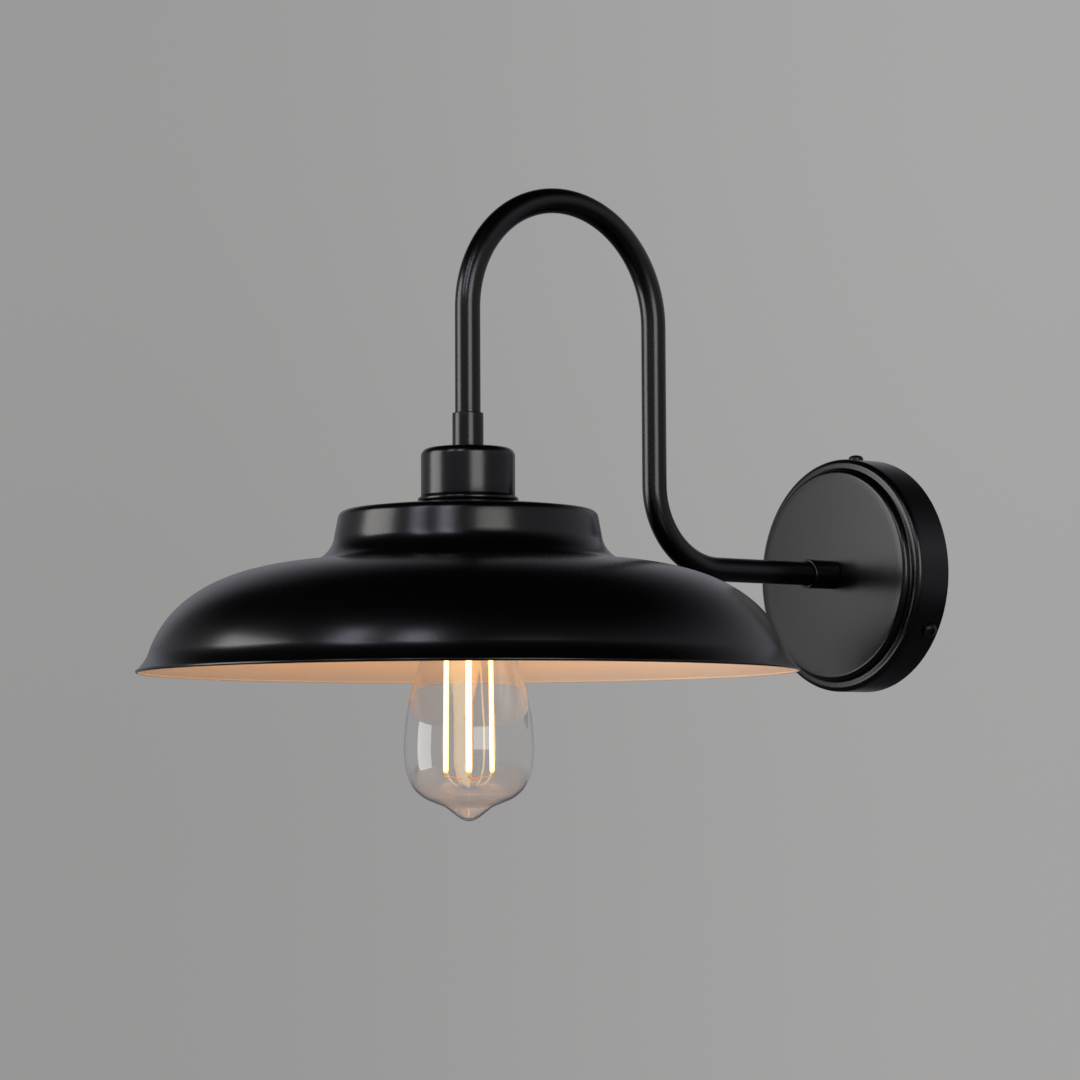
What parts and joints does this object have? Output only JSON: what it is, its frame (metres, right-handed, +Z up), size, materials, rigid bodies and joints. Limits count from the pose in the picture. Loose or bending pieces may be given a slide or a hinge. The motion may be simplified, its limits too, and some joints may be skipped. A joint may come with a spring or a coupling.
{
  "type": "outdoor wall lantern",
  "caption": "Swan-neck wall lantern: round canopy, bent tube arm, spun metal shade and a clear filament bulb that screws into its lampholder.",
  "frame": {"origin": "on the wall plane, where the axis of the arm's lower end meets it", "axes": "+Z up, -Y out from the wall towards the shade, +X to the right for someone who faces the lantern"},
  "size_m": [0.326, 0.433, 0.3209],
  "materials": {
    "satin_black_paint": "satin black powder coat",
    "dark_zinc": "dark zinc plate",
    "zinc_plate": "zinc plated steel",
    "black_foam": "closed-cell foam",
    "white_nylon": "moulded nylon",
    "brass": "bright brass",
    "black_bakelite": "moulded phenolic",
    "porcelain": "glazed porcelain",
    "nickel_plate": "nickel plate",
    "clear_glass": "clear blown glass",
    "lit_filament": "phosphor-coated LED filament, lit",
    "circuit_board": "solder-masked board",
    "brown_insulation": "core insulation",
    "blue_insulation": "core insulation",
    "green_insulation": "core insulation"
  },
  "bodies": {
    "fixture": {"wall_gasket": "black_foam", "mounting_plate": "zinc_plate", "terminal_block": "white_nylon", "terminal_live": "brass", "terminal_earth": "brass", "terminal_neutral": "brass", "earth_lug": "zinc_plate", "earth_screw": "brass", "canopy": "satin_black_paint", "canopy_screw_top": "dark_zinc", "canopy_screw_right": "dark_zinc", "canopy_screw_left": "dark_zinc", "wall_lock_washer": "zinc_plate", "wall_nut": "zinc_plate", "wall_nipple": "zinc_plate", "wall_collar": "satin_black_paint", "arm_tube": "satin_black_paint", "live_wire": "brown_insulation", "neutral_wire": "blue_insulation", "earth_wire": "green_insulation", "shade_collar": "satin_black_paint", "shade_lock_washer": "zinc_plate", "shade_nut": "zinc_plate", "shade_nipple": "zinc_plate", "socket_cup": "satin_black_paint", "cup_base_ring": "satin_black_paint", "holder_cap": "black_bakelite", "holder_body": "black_bakelite", "holder_contact_shell": "brass", "holder_insulator": "porcelain", "holder_centre_contact": "brass", "holder_screw_live": "brass", "holder_screw_neutral": "brass"},
    "shade": {"shade": "satin_black_paint"},
    "ring": {"shade_ring": "black_bakelite"},
    "bulb_carrier": {"bulb_tip_contact": "nickel_plate"},
    "bulb": {"bulb_cap": "nickel_plate", "bulb_cap_insulator": "black_bakelite", "bulb_driver": "circuit_board", "bulb_glass": "clear_glass", "bulb_stem": "clear_glass", "filament_1": "lit_filament", "filament_2": "lit_filament", "filament_3": "lit_filament", "filament_4": "lit_filament", "filament_5": "lit_filament", "filament_6": "lit_filament", "filament_link_low_1": "nickel_plate", "filament_link_low_2": "nickel_plate", "filament_link_low_3": "nickel_plate", "filament_link_high_1": "nickel_plate", "filament_link_high_2": "nickel_plate", "filament_lead_live": "nickel_plate", "filament_lead_neutral": "nickel_plate"}
  },
  "joints": [
    {"name": "bulb_travel", "type": "slide", "parent": "fixture", "child": "bulb_carrier", "axis": [0, 0, -1], "range_m": [0, 0.0146]},
    {"name": "bulb_turn", "type": "hinge", "parent": "bulb_carrier", "child": "bulb", "pos_m": [0, -0.27, 0], "axis": [0, 0, -1], "range_deg": [0, 1440]},
    {"name": "shade_drop", "type": "slide", "parent": "fixture", "child": "shade", "axis": [0, 0, -1], "range_m": [0, 0.00999]},
    {"name": "ring_turn", "type": "hinge", "parent": "shade", "child": "ring", "pos_m": [0, -0.27, 0], "axis": [0, 0, -1], "range_deg": [0, 1440]}
  ],
  "couplings": [
    {"joint": "bulb_travel", "follows": "bulb_turn", "m_per_rad": 0.00057757},
    {"joint": "ring_turn", "follows": "shade_drop", "rad_per_m": 2513.3}
  ]
}
